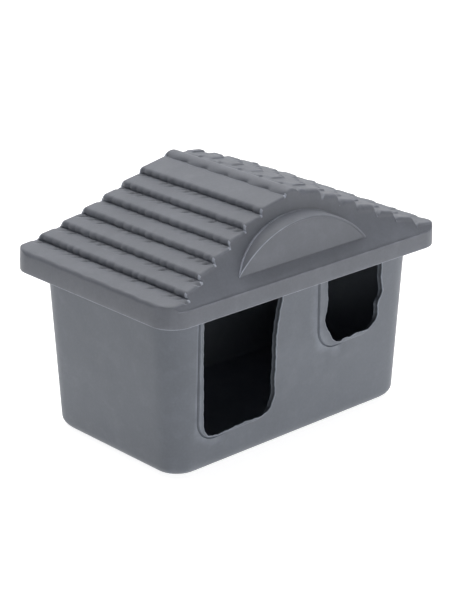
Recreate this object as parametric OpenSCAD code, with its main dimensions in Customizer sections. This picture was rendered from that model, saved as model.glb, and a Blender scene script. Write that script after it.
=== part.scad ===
// Rodent house: a drafted open tub with a doorway and a window in its front wall, and a lift-off tiled roof.
// Millimetres. The tub stands on z = 0, the front faces -Y and the ridge runs along Y.

/* [Tub] */
// Distance of the tub's walls inside the roof's outline, at the skirt's lower edge
overhang = 7.8; // [7.3:0.1:8.8]
// Plan radius of the tub's upright corners at the floor
foot_corner_r = 7.5; // [6.5:0.5:10]
// Radius between the tub's walls and its underside
foot_fillet_r = 6; // [4.5:0.5:6.5]
// Lean of the tub's walls, in degrees
draft = 3.2; // [1.5:0.1:3.5]
// Thickness of the tub's walls
tub_wall = 2.5; // [2:0.1:3.5]
// Thickness of the tub's floor
floor_t = 2.5; // [2:0.1:4]

/* [Rim] */
// Thickness of the rim turned outwards at the top of the tub
rim_t = 2; // [1.5:0.1:3]
// Height of the rim's upper face over the lower edge of the skirt
seat_lift = 5.4; // [4.6:0.1:5.8]
// Gap between the rim's edge and the inside of the skirt
rim_gap = 0.5; // [0.3:0.1:1]

/* [Doorway] */
// Distance of the doorway from the round of the tub's left corner
door_margin = 5.7; // [5:0.1:8]
// Width of the doorway
door_w = 39.6; // [34:0.2:42]
// Height of the doorway's sill
door_sill = 14.8; // [12:0.2:22]
// Radius of the doorway's lower corners
door_corner_r = 7; // [4:0.5:10]
// Width of the raised border beside the doorway
door_border_side = 3.2; // [2:0.1:4]
// Width of the raised border under the doorway
door_border_sill = 1.9; // [1:0.1:3]

/* [Window] */
// Distance of the window from the round of the tub's right corner
window_margin = 8.7; // [6:0.1:11]
// Width of the window
window_w = 31; // [24:0.5:34]
// Height of the window's sill
window_sill = 35.8; // [28:0.2:44]
// Radius of the window's lower corners
window_corner_r = 7; // [4:0.5:10]
// Width of the raised border beside the window
window_border_side = 4.8; // [2:0.1:5.5]
// Width of the raised border under the window
window_border_sill = 2.5; // [1:0.1:4]
// Height of the raised borders over the front wall
border_rise = 0.6; // [0.4:0.1:1]
// Distance by which the raised borders stop short of an opening's right side
border_short = 2.5; // [2:0.1:4]

/* [Roof outline] */
// Width of the roof from eave to eave
roof_w = 150; // [140:1:160]
// Depth of the roof over the skirt
roof_d = 98; // [94:1:106]
// Plan radius of the roof's corners
roof_corner_r = 10; // [8:0.5:12]
// Thickness of the roof's shell
roof_wall = 2.4; // [2:0.1:2.8]
// Height of the skirt's lower edge over the floor
skirt_z = 68.6; // [64:0.2:74]
// Height of the skirt under the gables
skirt_h = 7.2; // [6.8:0.1:8]
// Height of the skirt under the eaves
eave_h = 9.1; // [8.6:0.1:10]

/* [Tile courses] */
// Number of lips on one slope
lip_count = 6; // [5:1:7]
// Width of the course beside the ridge
first_course_w = 15.5; // [12:0.5:18]
// Width of the course along the eave
last_course_w = 13.1; // [11:0.1:15]
// Height of a lip
lip_h = 2.55; // [2.1:0.05:2.8]
// Run of a lip's rounded nose
lip_run = 1.4; // [1:0.1:1.8]
// Fall of the courses in each millimetre of their run
course_fall = 0.192; // [0.15:0.002:0.22]
// Fall of the course along the eave in each millimetre of its run
eave_fall = 0.08; // [0.05:0.01:0.12]

/* [Ridge cap] */
// Radius of the rounded cap along the ridge
cap_r = 4.6; // [3.6:0.1:6]
// Height of the cap over the ridge line
cap_rise = 1.3; // [0.8:0.1:2]

/* [Gables] */
// Depth of the roof along the ridge
ridge_d = 72.6; // [68:0.2:78]
// Width of the ledge between the skirt and the foot of a gable
gable_ledge = 0.5; // [0.3:0.1:1]
// Width of the half-moon plaque on the front gable
plaque_w = 71; // [60:0.2:74]
// Height of the half-moon plaque
plaque_h = 15.8; // [11:0.2:16]
// Height of the plaque's straight edge over the skirt
plaque_lift = 4.8; // [4:0.1:5.2]

/* [Hidden] */
$fn = 64;
shell_grey = [0.42, 0.43, 0.46];
// Overlap that lets a cut run past a face
past = 1;

// Heights of the rim's upper face and of the eave and the skirt under the gables
seat_z = skirt_z + seat_lift;
eave_z = skirt_z + eave_h;
gable_z = skirt_z + skirt_h;

// The courses, from the eave up to the ridge line
course_w = (roof_w / 2 - first_course_w - last_course_w) / (lip_count - 1);
course_drop = lip_h + course_fall * (course_w - lip_run);
last_lip_z = eave_z + eave_fall * (last_course_w - lip_run) + lip_h;
ridge_z = last_lip_z + (lip_count - 1) * course_drop + course_fall * first_course_w;
cap_z = ridge_z + cap_rise - cap_r;
roof_top = ridge_z + cap_rise;

// The curved gables: a round hollow that leaves the ridge upright and ends on the skirt's ledge
gable_fall = ridge_z - gable_z;
gable_reach = (roof_d - ridge_d) / 2 - gable_ledge;
gable_r = (gable_fall * gable_fall + gable_reach * gable_reach) / (2 * gable_reach);
gable_y = ridge_d / 2 + gable_r;

// The plaque: a segment of a disc whose flat face stands where its straight edge meets the gable
plaque_z = gable_z + plaque_lift;
plaque_r = (plaque_w * plaque_w / 4 + plaque_h * plaque_h) / (2 * plaque_h);
plaque_y = gable_y - sqrt(gable_r * gable_r - (ridge_z - plaque_z) * (ridge_z - plaque_z));

// The tub's walls, its size at the floor and its corner axes
slope = tan(draft);
foot_w = roof_w - 2 * overhang - 2 * slope * skirt_z;
foot_d = roof_d - 2 * overhang - 2 * slope * skirt_z;
corner_x = to_micron(foot_w / 2 - foot_corner_r);
corner_y = to_micron(foot_d / 2 - foot_corner_r);
tub_wall_run = tub_wall / cos(draft);
fillet_steps = 5;

// The middles of the doorway and the window
door_x = door_margin + door_w / 2 - corner_x;
window_x = corner_x - window_margin - window_w / 2;

// The rim and the inside of the skirt that it fits
skirt_in_w = roof_w - 2 * roof_wall;
skirt_in_d = roof_d - 2 * roof_wall;
skirt_in_r = roof_corner_r - roof_wall;
rim_w = skirt_in_w - 2 * rim_gap;
rim_d = skirt_in_d - 2 * rim_gap;
rim_r = skirt_in_r - rim_gap;

// Where the lips of one slope stand, counted from the ridge
function lip_x(i) = first_course_w + i * course_w;
function lip_z(i) = ridge_z - course_fall * first_course_w - i * course_drop;

// Outline of one lip: its tread's end, a rounded nose and the foot on the next course
function lip_points(i) = [
    [lip_x(i) - 0.4 * lip_run, lip_z(i) + 0.4 * lip_run * course_fall],
    [lip_x(i) + 0.4 * lip_run, lip_z(i) - 0.14 * lip_h],
    [lip_x(i) + 0.8 * lip_run, lip_z(i) - 0.5 * lip_h],
    [lip_x(i) + lip_run, lip_z(i) - lip_h]
];

// One slope from the ridge to the eave
slope_points = [for (i = [0 : lip_count - 1]) for (p = lip_points(i)) p];

// A length to the nearest thousandth, so that a wall and its corner meet exactly
function to_micron(v) = round(1000 * v) / 1000;

// Outline of a wall beside a corner axis: distance from the axis and height
function wall_points(r, z0, z1, fillet) = concat(
    [[0, z1], [0, z0]],
    [for (k = [0 : fillet_steps])
        let (a = -90 + (90 - draft) * k / fillet_steps)
        [
            to_micron(r + fillet * (slope - 1 / cos(draft) + cos(a))),
            to_micron(z0 + fillet * (1 + sin(a)))
        ]],
    [[to_micron(r + slope * (z1 - z0)), z1]]
);

module rounded_plate(w, d, r, z0, z1) {
    translate([0, 0, z0])
        linear_extrude(z1 - z0)
            union() {
                square([w - 2 * r, d], center = true);
                square([w, d - 2 * r], center = true);
                for (sx = [-1, 1], sy = [-1, 1])
                    translate([sx * (w / 2 - r), sy * (d / 2 - r)])
                        circle(r);
            }
}

module wall_profile(points, half) {
    polygon(concat(
        [for (p = points) [half + p[0], p[1]]],
        [for (k = [len(points) - 1 : -1 : 0]) [-half - points[k][0], points[k][1]]]
    ));
}

// A box whose upright walls lean outwards, with round corners and a rounded underside
module drafted_box(r, z0, z1, fillet) {
    points = wall_points(r, z0, z1, fillet);
    outline = [for (k = [1 : len(points) - 1]) points[k]];
    translate([0, corner_y, 0])
        rotate([90, 0, 0])
            linear_extrude(2 * corner_y)
                wall_profile(outline, corner_x);
    translate([-corner_x, 0, 0])
        rotate([90, 0, 90])
            linear_extrude(2 * corner_x)
                wall_profile(outline, corner_y);
    for (k = [0 : 3])
        translate([(k == 0 || k == 3 ? 1 : -1) * corner_x, (k < 2 ? 1 : -1) * corner_y, 0])
            rotate([0, 0, 90 * k])
                rotate_extrude(angle = 90)
                    polygon(points);
}

// Outline of an opening that has round lower corners and runs up under the skirt
module opening_outline(x, w, sill, top, r) {
    translate([x - w / 2, sill + r])
        square([w, top - sill - r]);
    translate([x - w / 2 + r, sill])
        square([w - 2 * r, r + past]);
    for (s = [-1, 1])
        translate([x + s * (w / 2 - r), sill + r])
            circle(r);
}

// An opening of that outline, cut from the front as far back as y
module opening_cut(x, w, sill, top, r, y) {
    translate([0, y, 0])
        rotate([90, 0, 0])
            linear_extrude(foot_d)
                opening_outline(x, w, sill, top, r);
}

// The raised border on the left of an opening and under it, which leans with the front wall
module raised_border(x, w, sill, r, side, under) {
    intersection() {
        opening_cut(
            x - (side + border_short) / 2, w + side - border_short,
            sill - under, seat_z - rim_t / 2, r + under, 0
        );
        translate([0, -corner_y, 0])
            rotate([90, 0, -90])
                linear_extrude(foot_w, center = true)
                    polygon([
                        [foot_corner_r + border_rise, 0],
                        [foot_corner_r + border_rise + slope * seat_z, seat_z],
                        [foot_corner_r - tub_wall / 2 + slope * seat_z, seat_z],
                        [foot_corner_r - tub_wall / 2, 0]
                    ]);
    }
}

module tub() {
    color(shell_grey)
        difference() {
            union() {
                drafted_box(foot_corner_r, 0, seat_z - rim_t / 2, foot_fillet_r);
                rounded_plate(rim_w, rim_d, rim_r, seat_z - rim_t, seat_z);
                raised_border(door_x, door_w, door_sill, door_corner_r, door_border_side, door_border_sill);
                raised_border(
                    window_x, window_w, window_sill, window_corner_r,
                    window_border_side, window_border_sill
                );
            }
            drafted_box(
                foot_corner_r - tub_wall_run + slope * floor_t, floor_t, seat_z + past,
                foot_fillet_r - tub_wall
            );
            opening_cut(door_x, door_w, door_sill, seat_z - rim_t, door_corner_r, 0);
            opening_cut(window_x, window_w, window_sill, seat_z - rim_t, window_corner_r, 0);
        }
}

// The two round hollows that shape the gables, larger by grow on the inside of the shell
module gable_hollows(grow) {
    for (s = [-1, 1])
        translate([0, s * gable_y, ridge_z])
            rotate([0, 90, 0])
                cylinder(h = roof_w + 2 * past, r = gable_r + grow, center = true, $fn = 96);
}

// The half-moon, smaller all round by inset, from y0 back to y1
module half_moon(inset, y0, y1) {
    translate([0, y1, 0])
        rotate([90, 0, 0])
            linear_extrude(y1 - y0)
                intersection() {
                    translate([0, plaque_z + plaque_h - plaque_r])
                        circle(plaque_r - inset, $fn = 128);
                    translate([-plaque_w, plaque_z + inset])
                        square([2 * plaque_w, plaque_h]);
                }
}

module tiled_block() {
    difference() {
        intersection() {
            translate([0, roof_d / 2 + past, 0])
                rotate([90, 0, 0])
                    linear_extrude(roof_d + 2 * past)
                        union() {
                            polygon(concat(
                                [[0, ridge_z]],
                                slope_points,
                                [[roof_w / 2, eave_z], [roof_w / 2, skirt_z]],
                                [[-roof_w / 2, skirt_z], [-roof_w / 2, eave_z]],
                                [for (k = [len(slope_points) - 1 : -1 : 0])
                                    [-slope_points[k][0], slope_points[k][1]]]
                            ));
                            translate([0, cap_z])
                                circle(cap_r);
                        }
            rounded_plate(roof_w, roof_d, roof_corner_r, skirt_z, roof_top + past);
        }
        gable_hollows(0);
    }
}

// The room under the courses, between the gables
module roof_room() {
    room_slope = course_drop / course_w;
    room_drop = roof_wall * sqrt(1 + room_slope * room_slope);
    foot_x = lip_x(lip_count - 1) + lip_run;
    foot_z = lip_z(lip_count - 1) - lip_h - room_drop;
    room_top = ridge_z - roof_wall;
    top_x = foot_x - (room_top - foot_z) / room_slope;
    seat_x = foot_x + (foot_z - seat_z) / room_slope;
    difference() {
        intersection() {
            translate([0, roof_d / 2, 0])
                rotate([90, 0, 0])
                    linear_extrude(roof_d)
                        polygon([
                            [seat_x, skirt_z], [seat_x, seat_z], [top_x, room_top],
                            [-top_x, room_top], [-seat_x, seat_z], [-seat_x, skirt_z]
                        ]);
            rounded_plate(skirt_in_w, skirt_in_d, skirt_in_r, skirt_z - past, roof_top);
        }
        gable_hollows(roof_wall);
    }
}

module roof() {
    color(shell_grey)
        difference() {
            union() {
                tiled_block();
                half_moon(0, -plaque_y, -ridge_d / 2 + roof_wall);
            }
            rounded_plate(skirt_in_w, skirt_in_d, skirt_in_r, skirt_z - past, seat_z);
            roof_room();
            half_moon(roof_wall, -plaque_y + roof_wall, -ridge_d / 2 + 2 * roof_wall);
        }
}

tub();
roof();
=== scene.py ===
"""Looks of a rodent house: a lift-off tiled roof over a drafted tub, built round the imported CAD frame.

Lengths are in millimetres until a mesh is made. The front faces -Y and the ridge runs along Y.
"""

import random
from dataclasses import dataclass
from math import asin, atan2, copysign, cos, dist, exp, hypot, pi, radians, sin, sqrt, tan

import bmesh
import bpy
import numpy as np
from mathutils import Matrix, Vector
from mathutils.geometry import delaunay_2d_cdt


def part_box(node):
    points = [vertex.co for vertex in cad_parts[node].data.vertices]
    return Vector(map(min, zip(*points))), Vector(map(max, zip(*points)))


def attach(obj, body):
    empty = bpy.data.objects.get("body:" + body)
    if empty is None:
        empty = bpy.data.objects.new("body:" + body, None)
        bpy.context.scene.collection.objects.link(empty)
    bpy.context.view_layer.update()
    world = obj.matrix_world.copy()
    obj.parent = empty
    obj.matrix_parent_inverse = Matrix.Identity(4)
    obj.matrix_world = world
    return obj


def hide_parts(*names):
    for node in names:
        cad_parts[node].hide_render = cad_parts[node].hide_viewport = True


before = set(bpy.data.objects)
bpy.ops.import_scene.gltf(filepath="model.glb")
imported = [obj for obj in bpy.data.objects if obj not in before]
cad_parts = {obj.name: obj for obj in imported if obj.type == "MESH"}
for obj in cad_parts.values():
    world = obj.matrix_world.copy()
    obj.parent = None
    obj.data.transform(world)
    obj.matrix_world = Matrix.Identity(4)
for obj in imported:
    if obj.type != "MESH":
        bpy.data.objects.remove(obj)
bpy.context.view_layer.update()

MM = 0.001
# Radius of an edge painted fully pale, as wear and as a painted highlight, and the least distance its bend
# is measured over
PALE_EDGE_R = 0.35
PALE_EDGE_STEP = 0.2
# Level of the painted wear and light on a plain face, which leaves its colour about as it is
PLAIN_PAINTED_LEVEL = 0.2
# Degrees from which an edge is shaded sharp
ROOF_SHARP = 40
TUB_SHARP = 35
# Middle of a small bevelled edge, as a share of its size
BEVEL_MIDDLE = 0.3
roof_low, roof_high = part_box("roof")
_, tub_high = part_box("tub")

# Roof outline: the main sizes are the frame's, the others repeat the part's own
HALF_W = roof_high.x / MM
HALF_D = roof_high.y / MM
SKIRT_Z = roof_low.z / MM
ROOF_TOP = roof_high.z / MM
SEAT_Z = tub_high.z / MM
ROOF_CORNER_R = 10
ROOF_WALL = 2.4
SKIRT_H = 7.2
EAVE_H = 9.1
LEDGE = 0.5
GABLE_Z = SKIRT_Z + SKIRT_H
EAVE_Z = SKIRT_Z + EAVE_H
CORNER_X = HALF_W - ROOF_CORNER_R
CORNER_Y = HALF_D - ROOF_CORNER_R

# Tile courses
LIP_COUNT = 6
FIRST_COURSE_W = 15.5
LAST_COURSE_W = 13.1
LIP_H = 2.55
LIP_RUN = 1.4
COURSE_FALL = 0.192
EAVE_FALL = 0.08
COURSE_W = (HALF_W - FIRST_COURSE_W - LAST_COURSE_W) / (LIP_COUNT - 1)
COURSE_DROP = LIP_H + COURSE_FALL * (COURSE_W - LIP_RUN)
SLOPE = COURSE_DROP / COURSE_W
LAST_LIP_Z = EAVE_Z + EAVE_FALL * (LAST_COURSE_W - LIP_RUN) + LIP_H
RIDGE_Z = LAST_LIP_Z + (LIP_COUNT - 1) * COURSE_DROP + COURSE_FALL * FIRST_COURSE_W

# Ridge cap: the end of its round, its steps, and the one from which it has lobes
CAP_R = 4.6
CAP_Z = ROOF_TOP - CAP_R
CAP_END = radians(33)
CAP_STEPS = 8
CAP_LOBE_STEP = 3

# Gables: a round hollow that leaves the ridge upright and ends on the skirt's ledge
RIDGE_HALF_D = 36.3
GABLE_FALL = RIDGE_Z - GABLE_Z
GABLE_REACH = HALF_D - RIDGE_HALF_D - LEDGE
GABLE_R = (GABLE_FALL ** 2 + GABLE_REACH ** 2) / (2 * GABLE_REACH)
GABLE_Y = RIDGE_HALF_D + GABLE_R

# Half-moon plaque on the front gable, fitted to the photo
PLAQUE_HALF_W = 35.5
PLAQUE_H = 15.8
PLAQUE_Z = GABLE_Z + 4
PLAQUE_R = (PLAQUE_HALF_W ** 2 + PLAQUE_H ** 2) / (2 * PLAQUE_H)
PLAQUE_CENTRE_Z = PLAQUE_Z + PLAQUE_H - PLAQUE_R
PLAQUE_TIP_R = 0.6
LEAST_TIP_R = 0.15
PLAQUE_EDGE_R = 0.4
PLAQUE_EDGE_STEPS = 5
CHORD_STEPS = 40
TIP_STEPS = 6
ARC_STEPS = 60
# Heights of the plaque's foot and face, as shares of its own
FOOT_RISE = 1.1
FACE_RISE = 1.05
PLAQUE_SHIFT = -1.5
PLAQUE_RIM_W = 0.8
FACE_DEPTH = 0.25
# Share of the rim left along the straight edge
LOW_RIM = 0.3
# Flange, and the least step of its rows
FLANGE_W = 0.4
FLANGE_T = 0.5
FLANGE_STEP = 0.05
PLAQUE_ROOT = 1.2
# Painted highlight along the round edge, its gain at the left, and where that starts and ends
RIM_HIGHLIGHT = 0.6
RIM_HIGHLIGHT_GAIN = 1.4
HIGHLIGHT_START = 0.1
HIGHLIGHT_END = 0.5
# How far left the straight edge stays plain
PLAIN_END = 0.9

# Tiles, and the share of one at which its lift is greatest
TILE_PITCH = 12
TILE_STEP = 0.95
# Length of a course's last tile, and how far a joint strays, in tiles
LAST_TILE = 7
JOINT_PLAY = 0.1
# Lobes of the lips and of the cap, and their height at a lip's own line
LOBE = 0.8
CAP_LOBE = 0.9
LOBE_MIDDLE = 0.6
# Least and greatest width of a lobe, and the power of its sine
LOBE_W = (3.6, 6.6)
LOBE_POWER = 0.9
# Share of a lip's wave that its lobes make. Its tiles make the rest
LOBE_SHARE = 0.75
# Places along a tile, and the cap's heights there
CAP_WAVE = ((0, 0.2, 0.5, 1), (0, 1, 0.8, 0))
# On the right slope and on the left one: lift of the tiles, belly, and its gain towards the back
TILE_LIFT = (0.7, 0.0)
SLOPE_BELLY = (1.1, 0.1)
SLOPE_TWIST = (1.3, 0.25)
# Reach of the belly in half widths of the roof, and the power of its sine
BELLY_REACH = 1.25
BELLY_POWER = 1.4
# Dents below a lip: their depth, distance from it, width and length
DENT = 0.9
DENT_BELOW = 1.3
DENT_W = 1.0
DENT_LENGTH = 1.3
# Move of a dent along Y per millimetre of slope
DENT_SLANT = 0.92
# Columns at a lip's foot: their distance from it and share of its lobes
FOOT_COLUMNS = ((0.3, 0.8), (0.8, 0.4))
EAVE_COLUMNS = (*FOOT_COLUMNS, (1.3, 0.0))
# Gain of lift per millimetre below a lip
FOOT_LIFT = 0.5
# Columns through the dents, their step, and that of a course's other columns
DENT_COLUMNS = 7
DENT_STEP = 0.45
TREAD_STEP = 1.3
# Distance of a column that no lip is near to
FAR_BELOW = 99.0
# Nose of a lip, and how far its face falls back and dips at its foot
NOSE_W = 1.8
NOSE_H = 1.7
NOSE_STEPS = 6
FACE_SHARES = (0.4, 0.75, 1.0)
FACE_BACK = 0.25
FACE_DIP = 0.15
# Shares of lobes and lift at a nose's start and end and at the lip's foot
LIP_PUSH = (0.4, 0.8, 1.0)
LIP_LIFT = (1.0, 0.7, 0.2)
# Round of the verges, its gain on the right slope, and where that is reached and starts to fade
VERGE_R = 1.3
VERGE_GAIN = 1.0
VERGE_GAIN_X = 8
VERGE_FADE = 35
# Share of it left at an eave, and the round at a lip's side
VERGE_LEAST = 0.25
VERGE_SIDE_R = 0.6
# Shift of the right slope's lips up the slope, which fades at both ends
LIP_SHIFT = 1.2
SHIFT_FADE = 6
# Least step between the columns of a gable, which don't overhang
EDGE_STEP = 0.05
# Round of an eave, its steps, those of the corner before it, and its share of lift
EAVE_R = 1.6
EAVE_TURNS = 6
EAVE_STEPS = 15
EAVE_LIFT = 0.7
# Sag of an eave's edge, and the heights and lengths of its waves
EAVE_SAG = 0.3
EAVE_WAVES = ((0.3, 2.7), (0.2, 1.3))
# Painted highlight on the left lips' ends, their least share of lobes, and the rows left plain
KNOB_HIGHLIGHT = 2.4
KNOB_PUSH = 0.55
KNOB_ROW = 2
# Crease along the skirt's ledge, and the rows beyond it: shares of the ledge and depths
CREASE_SHARE = 0.3
CREASE_LEAST = 0.05
GROOVE_DIP = 0.6
LEDGE_ROWS = ((0.75, 0.1), (1.0, 0.4), (1.0, 0.9))
# Heights of the skirt's rows, the rounds of its lower edge, and the painted highlight along the outer one
SKIRT_ROWS = (4, 2)
SKIRT_EDGE_R = 0.4
SKIRT_EDGE_STEPS = 4
INNER_EDGE_R = 0.3
SKIRT_HIGHLIGHT = 1.3
# Lean of the skirt below the eaves, and the width that takes part
SKIRT_LEAN = 0.8
LEAN_REACH = 6

# Rows of the roof on one side of the middle: straight ones, stretched ones, the verge's
STRAIGHT_ROWS = 64
STRETCHED_ROWS = 28
VERGE_ROWS = 8
STRAIGHT_REACH = 31
HALF_ROWS = STRAIGHT_ROWS + STRETCHED_ROWS + VERGE_ROWS
# Rows down a gable outside and inside, and the outer ones' end over the ledge
GABLE_ROWS = 14
ROOM_ROWS = 6
GABLE_END = 0.02
# The inside keeps one row and column in so many
INSIDE_SKIP = 4

# Tub: its walls, corners and foot are fitted to the photo, a little off the part's own
FOOT_CORNER_R = 9
FOOT_FILLET_R = 5
# Gain of the corners' radius at the underside
FOOT_ROUND = 6
DRAFT = radians(3.2)
OVERHANG = 7.3
TUB_WALL = 2.5
FLOOR_T = 2.5
RIM_T = 2
RIM_Z = SEAT_Z - RIM_T
RIM_CORNER_R = 7.1
RIM_EDGE_R = 0.4
LEAN = tan(DRAFT)
TUB_AXIS_X = HALF_W - OVERHANG - LEAN * SKIRT_Z - FOOT_CORNER_R
TUB_AXIS_Y = HALF_D - OVERHANG - LEAN * SKIRT_Z - FOOT_CORNER_R
WALL_RUN = TUB_WALL / cos(DRAFT)
FRONT_STEPS = 36
SIDE_STEPS = 20
CORNER_STEPS = 12
WALL_ROWS = 16
FILLET_ROWS = 7

# Openings in the tub's front wall
DOOR_LEFT = -TUB_AXIS_X + 3.75
DOOR_W = 39.6
DOOR_SILL = 15
WINDOW_RIGHT = TUB_AXIS_X - 8.2
WINDOW_W = 31
WINDOW_SILL = 36
OPENING_TOP = RIM_Z - 1.2
# Straight lead of an opening's sides over its top
CUT_LEAD = 8
CUT_STEP = 0.8
CUT_BEVEL = 0.2
# Height, length and start of the waves along a cut, and the stretch they fade in
CUT_WAVES = ((0.1, 0.9, 1), (0.08, 0.43, 2))
CUT_FADE = 2
# Strip round an opening that its painted burr and highlight doesn't reach beyond
CUT_STRIP = 0.35
# Rows through a cut face, as shares of the wall
CUT_SHARES = (0.0, 0.15, 0.5, 1.0)
# Painted shade on the cut faces, which are painted darker, and the burr along them, pale as wear and as a
# painted highlight
CUT_SHADE = 0.0
BURR_WEAR_AND_HIGHLIGHT = 1.3
# The cut falls towards the inside along the sills
SILL_FALL = 1.5
# Raised borders, and the share of their height lost up to a share of the sill
BORDER_RISE = 0.55
BORDER_STEP = 0.3
BORDER_FADE = 0.6
BORDER_FADE_END = 0.5
# Groove round a border, and the share of the sill where it ends
GROOVE_W = 0.6
GROOVE_DEPTH = 0.45
GROOVE_END = 0.2
# Points of a border's line: their step, and the start, end and steps of its two rounds
BORDER_SPACING = 1.5
LEFT_ROUND = (pi, 1.5 * pi, 12)
RIGHT_ROUND = (1.5 * pi, radians(340), 8)
# Front wall: step of its points, room round an opening, and when points are one
PANEL_STEP = 4.0
PANEL_MARGIN = 0.25
SAME_POINT = 1e-6


def clamp(value):
    """A value kept between 0 and 1."""
    return min(1.0, max(0.0, value))


def between(a, b, share):
    """The value at a share of the way from a to b."""
    return a + (b - a) * share


def stretch(start, end, steps):
    """Points of a straight line, with both ends."""
    return [tuple(between(a, b, k / steps) for a, b in zip(start, end)) for k in range(steps + 1)]


def arc(x, y, r, start, end, steps):
    """Points of a round about a middle from one angle to another, with both ends."""
    angles = [between(start, end, k / steps) for k in range(steps + 1)]
    return [(x + r * cos(angle), y + r * sin(angle)) for angle in angles]


def rounded(r, steps):
    """Insets and depths of a rounded edge, from its side to its face."""
    angles = [pi / 2 * k / steps for k in range(steps + 1)]
    return [(r * (1 - cos(angle)), r * (1 - sin(angle))) for angle in angles]


def bevelled(r):
    """Insets and depths of a small bevelled edge, from its side to its face."""
    return [(0, r), (BEVEL_MIDDLE * r, BEVEL_MIDDLE * r), (r, 0)]


def smooth_min(a, b, soft=0.25):
    """The lesser of two lengths, with the corner between them rounded off."""
    low = np.minimum(a, b)
    return low - soft * np.log(np.exp((low - a) / soft) + np.exp((low - b) / soft))


def plan_y(x, corner_r=ROOF_CORNER_R):
    """Half the depth at x of the roof's outline, or of one inside it with smaller corners."""
    beyond = max(0, abs(x) - CORNER_X)
    return CORNER_Y + sqrt(max(0, corner_r ** 2 - beyond ** 2))


def cove_y(z, grow=0):
    """Distance of a gable's curved face from the middle at height z."""
    fall = np.maximum(0, RIDGE_Z - z)
    return GABLE_Y - np.sqrt((GABLE_R + grow) ** 2 - fall ** 2)


def lip_x(i):
    return FIRST_COURSE_W + i * COURSE_W


def lip_z(i):
    return RIDGE_Z - COURSE_FALL * FIRST_COURSE_W - i * COURSE_DROP


def linked(name, data):
    """A new object of the scene."""
    obj = bpy.data.objects.new(name, data)
    bpy.context.scene.collection.objects.link(obj)
    return obj


def new_object(name, points, faces, material):
    """An object with a mesh in metres."""
    mesh = bpy.data.meshes.new(name)
    mesh.from_pydata(points, [], faces)
    mesh.materials.append(material)
    return linked(name, mesh)


class Shell:
    """Points in millimetres and faces, gathered until they become one mesh."""

    def __init__(self):
        self.points = []
        self.faces = []
        # Painted level of single points (highlights on edges, shade on cut faces, pale wear), in place of
        # the one found from the shape
        self.painted_levels = {}

    def row(self, points):
        """Adds points and gives back their numbers."""
        first = len(self.points)
        self.points.extend(tuple(p) for p in points)
        return list(range(first, len(self.points)))

    def strip(self, row, other, closed=False):
        """Joins two rows of as many points with quads."""
        steps = range(len(row)) if closed else range(len(row) - 1)
        for k in steps:
            n = (k + 1) % len(row)
            self.faces.append((row[k], row[n], other[n], other[k]))

    def around(self, row, points):
        """Adds a closed row, joins it to the last one and gives back its numbers."""
        further = self.row(points)
        self.strip(row, further, closed=True)
        return further

    def paint_row(self, row, wear_and_painted_light):
        """Sets the painted wear and light of a row's points."""
        for k in row:
            self.painted_levels[k] = wear_and_painted_light

    def ring(self, fine, coarse, ratio):
        """Joins two closed rows, the first with ratio times as many points as the second."""
        for k in range(len(coarse)):
            n = (k + 1) % len(coarse)
            edge = [fine[(k * ratio + m) % len(fine)] for m in range(ratio + 1)]
            self.faces.append((*edge, coarse[n], coarse[k]))

    def piece(self, name, body, node, material, sharp):
        """Makes the object, shaded smooth up to the sharp angle, and lets it ride on its body."""
        obj = new_object(name, [(x * MM, y * MM, z * MM) for x, y, z in self.points], self.faces, material)
        mesh = obj.data
        work = bmesh.new()
        work.from_mesh(mesh)
        work.verts.index_update()
        bmesh.ops.recalc_face_normals(work, faces=work.faces)
        work.normal_update()
        for face in work.faces:
            face.smooth = True
        # Paler where the surface bends outwards, as wear and as painted highlights; set points keep their
        # own painted level
        wear_and_painted_light = work.verts.layers.float.new("wear_and_painted_light")
        for vert in work.verts:
            vert[wear_and_painted_light] = self.painted_levels.get(vert.index, min(1.0, max(PLAIN_PAINTED_LEVEL, convexity(vert))))
        work.to_mesh(mesh)
        work.free()
        mesh.set_sharp_from_angle(angle=radians(sharp))
        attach(obj, body)
        if node:
            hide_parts(node)


def convexity(vert):
    """How sharply the surface bends outwards at a point, 1 at the round of an edge painted fully pale."""
    bend = 0.0
    for edge in vert.link_edges:
        way = vert.co - edge.other_vert(vert).co
        bend = max(bend, 2 * vert.normal.dot(way) / max(way.length_squared, (PALE_EDGE_STEP * MM) ** 2))
    return bend * PALE_EDGE_R * MM


@dataclass
class Column:
    """A line of the roof from front to back, at one place across its profile."""

    x: float
    z: float
    # The course whose lip it follows, -1 for the cap, and its shares of lobes and lift
    course: int
    push: float = 0.0
    lift: float = 0.0
    # Its distance below a lip, and its shares of the side round and of the eave's sag
    below: float = FAR_BELOW
    side_roll: float = 0.0
    sag: float = 0.0
    # Its slope, its verge's round, and where it meets the gable
    side: int = 1
    verge_r: float = VERGE_R
    edge_x: float = 0.0
    low_z: float = 0.0


def tread_z(course, x):
    if course == LIP_COUNT:
        return EAVE_Z + EAVE_FALL * (HALF_W - x)
    return lip_z(course) + COURSE_FALL * (lip_x(course) - x)


def cap_columns():
    """The ridge cap from its middle to the crease beside it. Its lower edge has lobes."""
    columns = []
    for k, (x, z) in enumerate(arc(0, CAP_Z, CAP_R, pi / 2, CAP_END, CAP_STEPS)):
        push = max(0.0, (k - CAP_LOBE_STEP) / (CAP_STEPS - CAP_LOBE_STEP)) ** 2
        columns.append(Column(x, z, -1, push))
    return columns


def tread_columns(course, start, end, above):
    """One course, whose upper end follows the lobes of the lip or cap above it."""
    feet = list(FOOT_COLUMNS)
    for k in range(1, DENT_COLUMNS + 1):
        feet.append((FOOT_COLUMNS[-1][0] + DENT_STEP * k, 0.0))
    columns = []
    for run, push in feet:
        x = start + run
        columns.append(Column(x, tread_z(course, x), above, push, min(1.0, FOOT_LIFT * run), run))
    first = start + feet[-1][0]
    steps = round((end - first) / TREAD_STEP)
    for k in range(1, steps):
        x = between(first, end, k / steps)
        columns.append(Column(x, tread_z(course, x), course, 0.0, 1.0))
    return columns


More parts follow.
